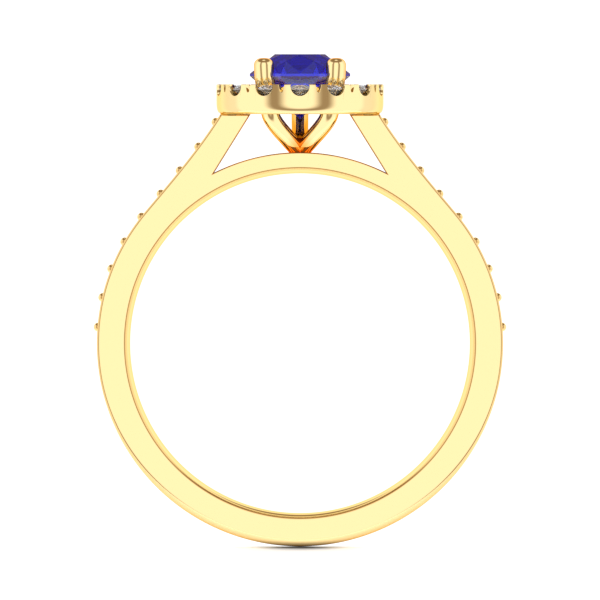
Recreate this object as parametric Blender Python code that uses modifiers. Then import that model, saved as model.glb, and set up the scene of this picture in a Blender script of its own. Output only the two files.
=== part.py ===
"""A halo engagement ring in yellow gold, with cathedral shoulders, a claw head, a halo frame and set stones.

The finger hole is centred on the origin and runs along Y. +X is to the right and +Z runs up to the head.
"""
import bpy
import bmesh
from math import atan2, cos, hypot, pi, radians, sin, sqrt, tan
from mathutils import Matrix, Vector

MM = 0.001

# Band
FINGER_RADIUS = 8.45 * MM
BAND_THICKNESS = 1.67 * MM
BAND_WIDTH = 1.80 * MM
COMFORT_DEPTH = 0.20 * MM      # how much further out the bore is at its ends than at its middle
BORE_EDGE_ROUND = 0.14 * MM
SIDE_EDGE_ROUND = 0.13 * MM
SOLE_EDGE_ROUND = 0.38 * MM    # the outer edges soften to this towards the bottom of the band,
SOFTENS_FROM = radians(10)     # from this far below the X axis
SOFTENS_OVER = radians(55)     # and over this angle
BORE_EDGE_ENDS = radians(105)  # where the bore's rounding runs out into the face

# Bridge and cathedral shoulders
BRIDGE_THICKNESS = 1.06 * MM
SHOULDER_LEAVES = radians(40)  # where the outer line leaves the round, above the X axis
SHOULDER_SLOPE = radians(58)   # how steep both its edges are under the halo
SHOULDER_TOP = 1.52 * MM       # length of the flat that the halo sits on
SHOULDER_INSET = 0.20 * MM     # from the halo's wall in to the end of that flat

# Halo frame
HALO_RISE = 1.894 * MM         # from the bridge up to its underside
HALO_HEIGHT = 1.489 * MM
HALO_FOOT_ROUND = 0.32 * MM
HALO_RIM_ROUND = 0.05 * MM
HALO_RIM_WIDTH = 0.36 * MM     # the rim that the prongs are cut from
HALO_BED_DROP = 0.12 * MM      # the bed between the stones lies this far under the rim
HALO_STONES = 14
HALO_STONE = 1.25 * MM
HALO_FROM_CENTRE = 0.365 * MM  # from the centre stone's girdle out to the halo stones', seen from above
HALO_OUTER_WALL = 0.055 * MM   # metal outside and inside each halo stone's girdle
HALO_INNER_WALL = 0.115 * MM
HALO_TABLE_DROP = 0.04 * MM    # the tables lie this far under the rim
DRILL = 0.50 * MM              # the open hole under each halo stone
WINDOW_WIDTH = 0.92 * MM       # round-bottomed notch in the wall in front of each stone
WINDOW_DEPTH = 0.58 * MM
SPLIT_WIDTH = 0.32 * MM        # V notch that splits the metal between two stones into prongs
SPLIT_DEPTH = 0.40 * MM
SPLIT_REACH = 0.46 * MM
HALO_GRAIN = 0.34 * MM
HALO_GRAIN_INSET = 0.23 * MM   # from the inner wall to a grain's middle

# Centre stone
STONE = 5.00 * MM
TABLE_SHARE = 0.500
CROWN_ANGLE = radians(37.8)
PAVILION_ANGLE = radians(40.6)
GIRDLE = 0.12 * MM
GIRDLE_RISE = 0.470 * MM       # from the halo's rim up to the middle of the girdle

# Head
CLAW_TOP = 0.94 * MM           # claw diameters at the tip, under the halo and at the foot
CLAW_KNEE = 0.89 * MM
CLAW_FOOT = 0.84 * MM
CLAW_PROUD = 0.844 * MM        # tip above the middle of the girdle
CLAW_DOME = 0.38 * MM
DOME_ENDS = radians(82)        # where the dome's rounding stops short of the middle
CLAW_LEAN = 0.44 * MM          # how far the claw leans in between the girdle and the halo's underside
CLAW_SPLAY = 0.09 * MM         # how far it leans out between the girdle and the tip
FOOT_SINK = 0.05 * MM          # a claw's line starts this far past the axis and below the bridge's top
FOOT_REACH = 0.80 * MM         # how far out it heads from there, and how far up
FOOT_CLIMB = 0.72 * MM
KNEE_LEAN = 0.16 * MM          # how it comes up to the halo's underside: inward and down from there
KNEE_DROP = 0.50 * MM
RISE_LEAN = 0.14 * MM          # how it goes on above: outward and up
RISE_CLIMB = 0.50 * MM
GIRDLE_LEAN = 0.06 * MM        # how it comes up to the girdle: inward and down from there
GIRDLE_DROP = 0.60 * MM
CORE_RADIUS = 0.48 * MM        # the solid core where the claws meet
CORE_HEIGHT = 0.30 * MM
UPRIGHT_FOOT = 0.15 * MM       # where the upright's line starts: out from the axis and above the bridge
UPRIGHT_RISE = 0.33 * MM
UPRIGHT_REACH = 1.10 * MM      # how far out it heads from there, and how far up
UPRIGHT_CLIMB = 0.50 * MM
UPRIGHT_DROP = 0.75 * MM       # how far it runs straight down from the halo's underside
UPRIGHT = 0.84 * MM
UPRIGHT_INSET = 1.00 * MM      # from the halo's outer wall in to the upright's middle

# Shoulder stones and grains
SHOULDER_STONES = 8            # on each side
SHOULDER_STONE = 1.25 * MM
SHOULDER_STONE_GAP = 0.25 * MM # metal between two stones along the edge
FIRST_GRAIN = 0.46 * MM        # along the outer edge from the shoulder's top
SHOULDER_TABLE_DROP = 0.03 * MM
GRAIN = 0.44 * MM
GRAIN_PROUD = 0.20 * MM
GRAIN_INSET = 0.34 * MM        # from the band's face in to a grain's middle

# Small stones' cut
SMALL_TABLE_SHARE = 0.55
SMALL_CROWN_ANGLE = radians(34)
SMALL_PAVILION_ANGLE = radians(41)
SMALL_GIRDLE = 0.04 * MM
STAR_SHARE = 0.50              # every stone: where the star facets end, from the table out to the girdle
LOWER_SHARE = 0.22             # and how near the culet the lower girdle facets run

# Fits
SOLDER_GAP = 0.02 * MM         # between gold pieces that are soldered
SETTING_GAP = 0.02 * MM        # between a stone and its seat
PAST = 0.5 * MM                # how far a cutter runs past the face it opens
SHORT_PAST = PAST / 5          # the same where the next face is near

# Facets of the round work
BORE_STEPS = 72
HALO_STEPS = 84
SEAT_STEPS = 16
GRAIN_STEPS = 8
CORE_STEPS = 24
STONE_SPACE_STEPS = 32
BAND_STEPS = 30                # round half the band's outline, up its shoulder and over its bridge
SHOULDER_STEPS = 12
BRIDGE_STEPS = 8
COMFORT_STEPS = 3              # from the middle of the bore to each end
FOOT_STEPS = 8                 # along a claw: up to the halo's underside, on to the girdle and round the dome
RISE_STEPS = 5
DOME_STEPS = 4
UPRIGHT_STEPS = 10
HALO_FOOT_STEPS = 4
WINDOW_STEPS = 6
FINE_STEPS = 200               # for measuring along the shoulder

CENTRE_CUT = (TABLE_SHARE, CROWN_ANGLE, PAVILION_ANGLE, GIRDLE)
SMALL_CUT = (SMALL_TABLE_SHARE, SMALL_CROWN_ANGLE, SMALL_PAVILION_ANGLE, SMALL_GIRDLE)
BAND_RADIUS = FINGER_RADIUS + BAND_THICKNESS
BRIDGE_TOP = FINGER_RADIUS + BRIDGE_THICKNESS
HALO_UNDERSIDE = BRIDGE_TOP + HALO_RISE
HALO_RIM = HALO_UNDERSIDE + HALO_HEIGHT
HALO_STONE_CIRCLE = STONE / 2 + HALO_FROM_CENTRE + HALO_STONE / 2
HALO_RADIUS = HALO_STONE_CIRCLE + HALO_STONE / 2 + HALO_OUTER_WALL
HALO_INNER = HALO_STONE_CIRCLE - HALO_STONE / 2 - HALO_INNER_WALL
STONE_PITCH = SHOULDER_STONE + SHOULDER_STONE_GAP
GRAIN_OFFSET = BAND_WIDTH / 2 - GRAIN_INSET
GIRDLE_LEVEL = HALO_RIM + GIRDLE_RISE
CLAW_CIRCLE = STONE / 2 + SETTING_GAP
CLAW_ROLL = radians(4)
CLAW_ANGLES = [radians(45 + 90 * turn) for turn in range(4)]
UPRIGHT_ANGLE = radians(90)


# Scene

for old in list(bpy.data.objects):
    bpy.data.objects.remove(old, do_unlink=True)

parts = bpy.data.collections.new("engagement_ring")
cutters = bpy.data.collections.new("cutters")
for collection in (parts, cutters):
    bpy.context.scene.collection.children.link(collection)


def material(name, colour, metallic, roughness, transmission=0.0, ior=1.5):
    """A Principled material."""
    made = bpy.data.materials.new(name)
    made.use_nodes = True
    shader = made.node_tree.nodes["Principled BSDF"]
    shader.inputs["Base Color"].default_value = (*colour, 1)
    shader.inputs["Metallic"].default_value = metallic
    shader.inputs["Roughness"].default_value = roughness
    shader.inputs["Transmission Weight"].default_value = transmission
    shader.inputs["IOR"].default_value = ior
    made.diffuse_color = (*colour, 1)
    return made


def add_part(name, mesh, finish):
    """A finished piece of the ring."""
    piece = bpy.data.objects.new(name, mesh)
    piece.data.materials.clear()
    piece.data.materials.append(finish)
    parts.objects.link(piece)
    return piece


def add_cutter(name, mesh):
    """A helper that cuts or joins, and is left out of the ring."""
    helper = bpy.data.objects.new(name, mesh)
    helper.hide_render = True
    helper.display_type = "WIRE"
    cutters.objects.link(helper)
    return helper


def boolean(piece, helper, operation):
    modifier = piece.modifiers.new(helper.name, "BOOLEAN")
    modifier.operation = operation
    modifier.solver = "EXACT"
    modifier.object = helper


def mesh_of(source):
    """The object's evaluated shape as a mesh in world space. The object is removed."""
    bpy.context.view_layer.update()
    graph = bpy.context.evaluated_depsgraph_get()
    mesh = bpy.data.meshes.new_from_object(source.evaluated_get(graph))
    mesh.transform(source.matrix_world)
    bpy.data.objects.remove(source, do_unlink=True)
    work = bmesh.new()
    work.from_mesh(mesh)
    bmesh.ops.remove_doubles(work, verts=work.verts, dist=1e-7)
    bmesh.ops.recalc_face_normals(work, faces=work.faces)
    work.to_mesh(mesh)
    work.free()
    return mesh


def joined(name, meshes):
    """Several meshes, each with its place, as one."""
    work = bmesh.new()
    for mesh, place in meshes:
        placed = mesh.copy()
        placed.transform(place)
        work.from_mesh(placed)
        bpy.data.meshes.remove(placed)
    mesh = bpy.data.meshes.new(name)
    work.to_mesh(mesh)
    work.free()
    return mesh


def turned(name, profile, steps):
    """A solid of revolution about Z. The profile is (radius, height) down its outer side."""
    outline = bpy.data.meshes.new(name)
    points = [(radius, 0, height) for radius, height in profile]
    outline.from_pydata(points, [(i, i + 1) for i in range(len(points) - 1)], [])
    blank = bpy.data.objects.new(name, outline)
    cutters.objects.link(blank)
    screw = blank.modifiers.new("Turn", "SCREW")
    screw.steps = steps
    screw.render_steps = steps
    screw.use_merge_vertices = True
    screw.merge_threshold = 1e-7
    return mesh_of(blank)


def polar(radius, angle, height=0.0):
    return Vector((radius * cos(angle), radius * sin(angle), height))


def arc(centre, radius, start, end, count):
    """count + 1 points of an arc in a plane, as (x, y) pairs."""
    angles = [start + (end - start) * i / count for i in range(count + 1)]
    return [(centre[0] + radius * cos(a), centre[1] + radius * sin(a)) for a in angles]


def bezier(p0, p1, p2, p3, count):
    """count + 1 points of a cubic curve."""
    points = []
    for i in range(count + 1):
        t = i / count
        weights = ((1 - t) ** 3, 3 * t * (1 - t) ** 2, 3 * t * t * (1 - t), t ** 3)
        pulls = list(zip(weights, (p0, p1, p2, p3)))
        points.append(tuple(sum(weight * point[k] for weight, point in pulls) for k in range(len(p0))))
    return points


# Brilliant cut

def stone_heights(diameter, table_share, crown_angle, pavilion_angle, girdle):
    """Table and culet heights from the middle of the girdle."""
    table = girdle / 2 + diameter / 2 * (1 - table_share) * tan(crown_angle)
    culet = -girdle / 2 - diameter / 2 * tan(pavilion_angle)
    return table, culet


def brilliant(name, diameter, table_share, crown_angle, pavilion_angle, girdle):
    """A round brilliant from its meeting points, with its girdle's middle on the origin and its table up."""
    radius = diameter / 2
    table, culet = stone_heights(diameter, table_share, crown_angle, pavilion_angle, girdle)
    eighth = pi / 4
    table_flat = radius * table_share * cos(eighth / 2)
    star = table_flat + STAR_SHARE * (radius - table_flat)
    lower = LOWER_SHARE * radius
    crown_slope, pavilion_slope = tan(crown_angle), tan(pavilion_angle)
    star_height = girdle / 2 + crown_slope * (radius - star * cos(eighth / 2))
    lower_height = -girdle / 2 - pavilion_slope * (radius - lower * cos(eighth / 2))
    points = [(0, 0, culet)]
    for k in range(8):
        between = (k + 0.5) * eighth
        points.append(polar(radius * table_share, k * eighth, table))
        points.append(polar(star, between, star_height))
        points.append(polar(lower, between, lower_height))
    for k in range(16):
        points.append(polar(radius, k * eighth / 2, girdle / 2))
        points.append(polar(radius, k * eighth / 2, -girdle / 2))
    work = bmesh.new()
    for point in points:
        work.verts.new(Vector(point) / MM)
    bmesh.ops.convex_hull(work, input=work.verts)
    bmesh.ops.recalc_face_normals(work, faces=work.faces)
    bmesh.ops.transform(work, matrix=Matrix.Scale(MM, 4), verts=work.verts)
    mesh = bpy.data.meshes.new(name)
    work.to_mesh(mesh)
    work.free()
    return mesh


def seat(name, diameter, pavilion_angle, girdle, rise, drill_depth=0.0):
    """The cutter for a stone's seat: the pavilion's cone and a round well that ends at this rise."""
    radius = diameter / 2 + SETTING_GAP
    shelf = -girdle / 2 - SETTING_GAP
    profile = [(0, rise), (radius, rise), (radius, shelf)]
    if drill_depth:
        drill = DRILL / 2
        profile += [(drill, shelf - (radius - drill) * tan(pavilion_angle)), (drill, -drill_depth)]
        profile.append((0, -drill_depth))
    else:
        profile.append((0, shelf - radius * tan(pavilion_angle)))
    return turned(name, profile, SEAT_STEPS)


# Shank

SHOULDER_OUT = HALO_RADIUS - SHOULDER_INSET
SHOULDER_IN = SHOULDER_OUT - SHOULDER_TOP
SHOULDER_CEILING = HALO_UNDERSIDE - SOLDER_GAP


def shoulder_run(count):
    """The shoulder's outer edge from the end of its flat top down to the round, as (x, z)."""
    top = Vector((SHOULDER_OUT, SHOULDER_CEILING))
    leave = Vector((BAND_RADIUS * cos(SHOULDER_LEAVES), BAND_RADIUS * sin(SHOULDER_LEAVES)))
    reach = (top - leave).length / 3
    down = Vector((cos(SHOULDER_SLOPE), -sin(SHOULDER_SLOPE)))
    tangent = Vector((-sin(SHOULDER_LEAVES), cos(SHOULDER_LEAVES)))
    return bezier(top, top + down * reach, leave + tangent * reach, leave, count)


def crotch():
    """Where the shoulder's inner edge meets the bridge."""
    across, down = cos(SHOULDER_SLOPE), -sin(SHOULDER_SLOPE)
    b = SHOULDER_IN * across + SHOULDER_CEILING * down
    c = SHOULDER_IN ** 2 + SHOULDER_CEILING ** 2 - BRIDGE_TOP ** 2
    length = -b - sqrt(b * b - c)
    return SHOULDER_IN + across * length, SHOULDER_CEILING + down * length


def shank_outline():
    """Right half of the shank's front view from the bottom round to the middle of the bridge, as (x, z)."""
    band = arc((0, 0), BAND_RADIUS, -pi / 2, SHOULDER_LEAVES, BAND_STEPS)
    run = shoulder_run(SHOULDER_STEPS)[::-1][1:]
    corner = crotch()
    bridge = arc((0, 0), BRIDGE_TOP, atan2(corner[1], corner[0]), pi / 2, BRIDGE_STEPS)
    return band + run + [(SHOULDER_IN, SHOULDER_CEILING)] + bridge


def edge_round(x, z):
    """How much the outer edge is rounded at a place on the outline: softer towards the bottom."""
    below = -atan2(z, abs(x)) - SOFTENS_FROM
    share = min(max(below / SOFTENS_OVER, 0), 1)
    return SIDE_EDGE_ROUND + (SOLE_EDGE_ROUND - SIDE_EDGE_ROUND) * share * share * (3 - 2 * share)


def extruded_outline():
    """The shank's solid before it is cut, with the edges to be rounded weighted by their radius."""
    half = shank_outline()
    points = half + [(-x, z) for x, z in half[-2:0:-1]]
    curve = bpy.data.curves.new("shank_outline", "CURVE")
    curve.dimensions = "2D"
    curve.fill_mode = "BOTH"
    curve.extrude = BAND_WIDTH / 2
    spline = curve.splines.new("POLY")
    spline.points.add(len(points) - 1)
    for point, (x, z) in zip(spline.points, points):
        point.co = (x, z, 0, 1)
    spline.use_cyclic_u = True
    outline = bpy.data.objects.new("shank_outline", curve)
    outline.rotation_euler = (pi / 2, 0, 0)
    cutters.objects.link(outline)
    mesh = mesh_of(outline)
    work = bmesh.new()
    work.from_mesh(mesh)
    bmesh.ops.dissolve_limit(work, angle_limit=radians(0.1), verts=work.verts, edges=work.edges)
    weight = work.edges.layers.float.new("bevel_weight_edge")
    for edge in work.edges:
        side_normals = sorted(abs(face.normal.y) for face in edge.link_faces)
        if side_normals[0] < 0.5 < side_normals[-1]:
            middle = (edge.verts[0].co + edge.verts[1].co) / 2
            edge[weight] = edge_round(middle.x, middle.z) / SOLE_EDGE_ROUND
    work.to_mesh(mesh)
    work.free()
    return mesh


def bore():
    """The finger hole: a comfort curve across the band with a rounded edge at each face."""
    face = BAND_WIDTH / 2
    flank = face - BORE_EDGE_ROUND
    inner = []
    for i in range(-COMFORT_STEPS, COMFORT_STEPS + 1):
        share = i / COMFORT_STEPS
        inner.append((FINGER_RADIUS + COMFORT_DEPTH * share * share, -flank * share))
    edge_centre = (FINGER_RADIUS + COMFORT_DEPTH + BORE_EDGE_ROUND, flank)
    lip = arc(edge_centre, BORE_EDGE_ROUND, pi, BORE_EDGE_ENDS, 2)[1:]
    open_radius = lip[-1][0]
    profile = [(0, face + PAST), (open_radius, face + PAST)] + lip[::-1] + inner
    profile += [(radius, -height) for radius, height in lip]
    profile += [(open_radius, -face - PAST), (0, -face - PAST)]
    cutter = add_cutter("bore_cutter", turned("bore_cutter", profile, BORE_STEPS))
    cutter.rotation_euler = (pi / 2, 0, 0)
    return cutter


def along_shoulder(distance):
    """Place and outward direction on the outer edge, this far from the shoulder's top, as (x, z) pairs."""
    path = shoulder_run(FINE_STEPS)
    path += arc((0, 0), BAND_RADIUS, SHOULDER_LEAVES, -pi / 2, 2 * FINE_STEPS)[1:]
    travelled = 0.0
    for (x0, z0), (x1, z1) in zip(path, path[1:]):
        step = hypot(x1 - x0, z1 - z0)
        if travelled + step >= distance:
            share = (distance - travelled) / step
            place = (x0 + (x1 - x0) * share, z0 + (z1 - z0) * share)
            return place, ((z0 - z1) / step, (x1 - x0) / step)
        travelled += step
    raise ValueError("The stones run past the bottom of the band")


def standing(distance, height, offset, side):
    """The transform that stands a piece on the outer edge, its Z outward. side is 1 or -1."""
    (x, z), (out_x, out_z) = along_shoulder(distance)
    outward = Vector((side * out_x, 0, out_z))
    across = Vector((0, 1, 0))
    turn = Matrix((across.cross(outward), across, outward)).transposed().to_4x4()
    return Matrix.Translation(Vector((side * x, offset, z)) + outward * height) @ turn


def ball(name, diameter):
    work = bmesh.new()
    rings = GRAIN_STEPS // 2 + 1
    bmesh.ops.create_uvsphere(work, u_segments=GRAIN_STEPS, v_segments=rings, radius=diameter / 2)
    mesh = bpy.data.meshes.new(name)
    work.to_mesh(mesh)
    work.free()
    return mesh


def shoulder_seats():
    """Where the shoulder stones' girdles lie: (side, number, transform)."""
    table, _ = stone_heights(SHOULDER_STONE, *SMALL_CUT)
    for side, word in ((-1, "left"), (1, "right")):
        for i in range(SHOULDER_STONES):
            distance = FIRST_GRAIN + (i + 0.5) * STONE_PITCH
            yield word, i + 1, standing(distance, -SHOULDER_TABLE_DROP - table, 0, side)


def make_shank(gold):
    shank = add_part("shank", extruded_outline(), gold)
    rounding = shank.modifiers.new("Edges", "BEVEL")
    rounding.limit_method = "WEIGHT"
    rounding.width = SOLE_EDGE_ROUND
    rounding.segments = 2
    rounding.use_clamp_overlap = False
    boolean(shank, bore(), "DIFFERENCE")
    grain = ball("grain", GRAIN)
    places = []
    for side in (-1, 1):
        for i in range(SHOULDER_STONES + 1):
            for offset in (-GRAIN_OFFSET, GRAIN_OFFSET):
                distance = FIRST_GRAIN + i * STONE_PITCH
                places.append((grain, standing(distance, GRAIN_PROUD - GRAIN / 2, offset, side)))
    boolean(shank, add_cutter("shank_grains", joined("shank_grains", places)), "UNION")
    well = seat("shoulder_seat", SHOULDER_STONE, SMALL_PAVILION_ANGLE, SMALL_GIRDLE, PAST)
    wells = [(well, place) for _, _, place in shoulder_seats()]
    boolean(shank, add_cutter("shoulder_seats", joined("shoulder_seats", wells)), "DIFFERENCE")


# Head

def tube(name, path, diameters, roll=0.0):
    """A round wire along a path, thickened by its diameters, as a mesh with closed ends.

    Its sides are rolled about the path, because wires that meet evenly would share edges and not join.
    """
    curve = bpy.data.curves.new(name, "CURVE")
    curve.dimensions = "3D"
    curve.bevel_depth = 0.5
    curve.bevel_resolution = 4
    curve.use_fill_caps = True
    spline = curve.splines.new("POLY")
    spline.points.add(len(path) - 1)
    for point, place, diameter in zip(spline.points, path, diameters):
        point.co = (*place, 1)
        point.radius = diameter
        point.tilt = roll
    wire = bpy.data.objects.new(name, curve)
    cutters.objects.link(wire)
    return mesh_of(wire)


def claw_line():
    """A claw's centre line and diameters from its foot to its tip, as (radius, height) and numbers."""
    foot = (-FOOT_SINK, BRIDGE_TOP - FOOT_SINK)
    knee = (CLAW_CIRCLE - CLAW_LEAN, HALO_UNDERSIDE)
    girdle = (CLAW_CIRCLE, GIRDLE_LEVEL)
    lower = bezier(foot, (foot[0] + FOOT_REACH, foot[1] + FOOT_CLIMB),
                   (knee[0] - KNEE_LEAN, knee[1] - KNEE_DROP), knee, FOOT_STEPS)
    upper = bezier(knee, (knee[0] + RISE_LEAN, knee[1] + RISE_CLIMB),
                   (girdle[0] - GIRDLE_LEAN, girdle[1] - GIRDLE_DROP), girdle, RISE_STEPS)[1:]
    line = lower + upper
    widths = [CLAW_FOOT + (CLAW_KNEE - CLAW_FOOT) * i / FOOT_STEPS for i in range(FOOT_STEPS + 1)]
    widths += [CLAW_KNEE + (CLAW_TOP - CLAW_KNEE) * i / RISE_STEPS for i in range(1, RISE_STEPS + 1)]
    dome_start = GIRDLE_LEVEL + CLAW_PROUD - CLAW_DOME
    tip_circle = CLAW_CIRCLE + CLAW_SPLAY
    for i in range(DOME_STEPS + 1):
        angle = DOME_ENDS * i / DOME_STEPS
        line.append((tip_circle, dome_start + CLAW_DOME * sin(angle) / sin(DOME_ENDS)))
        widths.append(CLAW_TOP * cos(angle))
    return line, widths


def claws(name, extra):
    """The four claws as one mesh, each grown by extra all round."""
    line, widths = claw_line()
    meshes = []
    for number, angle in enumerate(CLAW_ANGLES):
        path = [polar(radius, angle, height) for radius, height in line]
        mesh = tube(name, path, [width + 2 * extra for width in widths], number * CLAW_ROLL)
        meshes.append((mesh, Matrix.Identity(4)))
    return meshes


def upright_mesh():
    """The rear upright, from the core out to the halo's underside."""
    foot = (UPRIGHT_FOOT, BRIDGE_TOP + UPRIGHT_RISE)
    top = (HALO_RADIUS - UPRIGHT_INSET, HALO_UNDERSIDE - SOLDER_GAP)
    line = bezier(foot, (foot[0] + UPRIGHT_REACH, foot[1] + UPRIGHT_CLIMB),
                  (top[0], top[1] - UPRIGHT_DROP), top, UPRIGHT_STEPS)
    path = [polar(radius, UPRIGHT_ANGLE, height) for radius, height in line]
    return tube("upright", path, [UPRIGHT] * len(path))


def make_head(gold):
    core_top, core_foot = BRIDGE_TOP + CORE_HEIGHT, BRIDGE_TOP - SHORT_PAST
    core_outline = [(0, core_top), (CORE_RADIUS, core_top), (CORE_RADIUS, core_foot), (0, core_foot)]
    head = add_part("head", turned("core", core_outline, CORE_STEPS), gold)
    for number, (mesh, _) in enumerate(claws("claw", 0.0), 1):
        boolean(head, add_cutter(f"claw_{number}", mesh), "UNION")
    boolean(head, add_cutter("rear_upright", upright_mesh()), "UNION")
    reach = STONE / 2 + SETTING_GAP
    table, culet = stone_heights(STONE, *CENTRE_CUT)
    table_radius = STONE / 2 * TABLE_SHARE
    lift = SETTING_GAP / cos(CROWN_ANGLE)
    drop = SETTING_GAP / cos(PAVILION_ANGLE)
    profile = [(0, table + lift), (table_radius, table + lift), (reach, GIRDLE / 2 + lift),
               (reach, -GIRDLE / 2 - drop), (0, culet - drop)]
    stone_space = add_cutter("stone_space", turned("stone_space", profile, STONE_SPACE_STEPS))
    stone_space.location = (0, 0, GIRDLE_LEVEL)
    boolean(head, stone_space, "DIFFERENCE")
    bridge_space = add_cutter("bridge_space", turned("bridge_space", [
        (0, BAND_WIDTH), (BRIDGE_TOP + SOLDER_GAP, BAND_WIDTH),
        (BRIDGE_TOP + SOLDER_GAP, -BAND_WIDTH), (0, -BAND_WIDTH)], 2 * BORE_STEPS))
    bridge_space.rotation_euler = (pi / 2, 0, 0)
    boolean(head, bridge_space, "DIFFERENCE")


# Halo frame

def halo_angle(number):
    """The azimuth of a halo stone. Stone 0 faces the front."""
    return -pi / 2 + 2 * pi * number / HALO_STONES


def halo_blank():
    """The plain collar: straight walls, a rounded foot outside and eased rims."""
    bed = HALO_RIM - HALO_BED_DROP
    rim_inner = HALO_RADIUS - HALO_RIM_WIDTH
    profile = [(HALO_INNER, bed - HALO_RIM_ROUND), (HALO_INNER + HALO_RIM_ROUND, bed),
               (rim_inner - HALO_BED_DROP, bed), (rim_inner, HALO_RIM),
               (HALO_RADIUS - HALO_RIM_ROUND, HALO_RIM), (HALO_RADIUS, HALO_RIM - HALO_RIM_ROUND)]
    foot_centre = (HALO_RADIUS - HALO_FOOT_ROUND, HALO_UNDERSIDE + HALO_FOOT_ROUND)
    profile += arc(foot_centre, HALO_FOOT_ROUND, 0, -pi / 2, HALO_FOOT_STEPS)
    profile += [(HALO_INNER, HALO_UNDERSIDE), profile[0]]
    return turned("halo_frame", profile, HALO_STEPS)


def window():
    """The cutter for a round-bottomed notch, lying along X with its rim line on Z = 0."""
    half = WINDOW_WIDTH / 2
    outline = [(half, PAST), (-half, PAST)] + arc((0, half - WINDOW_DEPTH), half, pi, 2 * pi, WINDOW_STEPS)
    return prism("window", outline, WINDOW_DEPTH + HALO_STONE / 2)


def split():
    """The cutter for a V notch, lying along X with its rim line on Z = 0."""
    flare = SPLIT_WIDTH / 2 * (1 + PAST / SPLIT_DEPTH)
    return prism("split", [(flare, PAST), (-flare, PAST), (0, -SPLIT_DEPTH)], SPLIT_REACH + PAST)


def prism(name, outline, length):
    """An outline of (y, z) points drawn out along -X from the origin."""
    work = bmesh.new()
    face = work.faces.new([work.verts.new((0, y, z)) for y, z in outline])
    drawn = bmesh.ops.extrude_face_region(work, geom=[face])
    moved = [item for item in drawn["geom"] if isinstance(item, bmesh.types.BMVert)]
    bmesh.ops.translate(work, verts=moved, vec=(-length, 0, 0))
    bmesh.ops.recalc_face_normals(work, faces=work.faces)
    mesh = bpy.data.meshes.new(name)
    work.to_mesh(mesh)
    work.free()
    return mesh


def halo_girdle_level():
    table, _ = stone_heights(HALO_STONE, *SMALL_CUT)
    return HALO_RIM - HALO_TABLE_DROP - table


def make_halo_frame(gold):
    frame = add_part("halo_frame", halo_blank(), gold)
    grain = ball("halo_grain", HALO_GRAIN)
    grains, seats, windows, splits = [], [], [], []
    girdle = halo_girdle_level()
    well = seat("halo_seat", HALO_STONE, SMALL_PAVILION_ANGLE, SMALL_GIRDLE, HALO_RIM - girdle + PAST,
                girdle - HALO_UNDERSIDE + PAST)
    window_mesh, split_mesh = window(), split()
    outside = HALO_RADIUS + SHORT_PAST
    grain_circle = HALO_INNER + HALO_GRAIN_INSET
    grain_height = HALO_RIM - HALO_RIM_ROUND - HALO_GRAIN / 2
    for number in range(HALO_STONES):
        angle = halo_angle(number)
        between = angle + pi / HALO_STONES
        turn = Matrix.Rotation(angle, 4, "Z")
        half_turn = Matrix.Rotation(between, 4, "Z")
        seats.append((well, Matrix.Translation(polar(HALO_STONE_CIRCLE, angle, girdle)) @ turn))
        windows.append((window_mesh, Matrix.Translation(polar(outside, angle, HALO_RIM)) @ turn))
        splits.append((split_mesh, Matrix.Translation(polar(outside, between, HALO_RIM)) @ half_turn))
        grains.append((grain, Matrix.Translation(polar(grain_circle, between, grain_height))))
    boolean(frame, add_cutter("halo_grains", joined("halo_grains", grains)), "UNION")
    boolean(frame, add_cutter("halo_seats", joined("halo_seats", seats)), "DIFFERENCE")
    boolean(frame, add_cutter("halo_windows", joined("halo_windows", windows)), "DIFFERENCE")
    boolean(frame, add_cutter("halo_splits", joined("halo_splits", splits)), "DIFFERENCE")
    for number, (mesh, _) in enumerate(claws("claw_space", SOLDER_GAP), 1):
        boolean(frame, add_cutter(f"claw_space_{number}", mesh), "DIFFERENCE")


# Stones

def make_stones(blue, clear):
    centre = add_part("centre_stone", brilliant("centre_stone", STONE, *CENTRE_CUT), blue)
    centre.location = (0, 0, GIRDLE_LEVEL)
    halo_mesh = brilliant("halo_stone", HALO_STONE, *SMALL_CUT)
    for number in range(HALO_STONES):
        angle = halo_angle(number)
        stone = add_part(f"halo_stone_{number + 1:02d}", halo_mesh, clear)
        stone.location = polar(HALO_STONE_CIRCLE, angle, halo_girdle_level())
        stone.rotation_euler = (0, 0, angle)
    shoulder_mesh = brilliant("shoulder_stone", SHOULDER_STONE, *SMALL_CUT)
    for word, number, place in shoulder_seats():
        stone = add_part(f"shoulder_stone_{word}_{number}", shoulder_mesh, clear)
        stone.matrix_world = place


GOLD = material("yellow_gold", (0.87, 0.66, 0.31), 1.0, 0.12)
BLUE = material("blue_stone", (0.02, 0.03, 0.45), 0.0, 0.02, transmission=1.0, ior=1.77)
CLEAR = material("clear_stone", (0.95, 0.96, 1.0), 0.0, 0.02, transmission=1.0, ior=2.42)

make_shank(GOLD)
make_head(GOLD)
make_halo_frame(GOLD)
make_stones(BLUE, CLEAR)
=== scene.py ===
from math import acos, atan2, cos, degrees, hypot, pi, radians, sin, sqrt, tan

import bmesh
import bpy
from mathutils import Matrix, Vector


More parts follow.
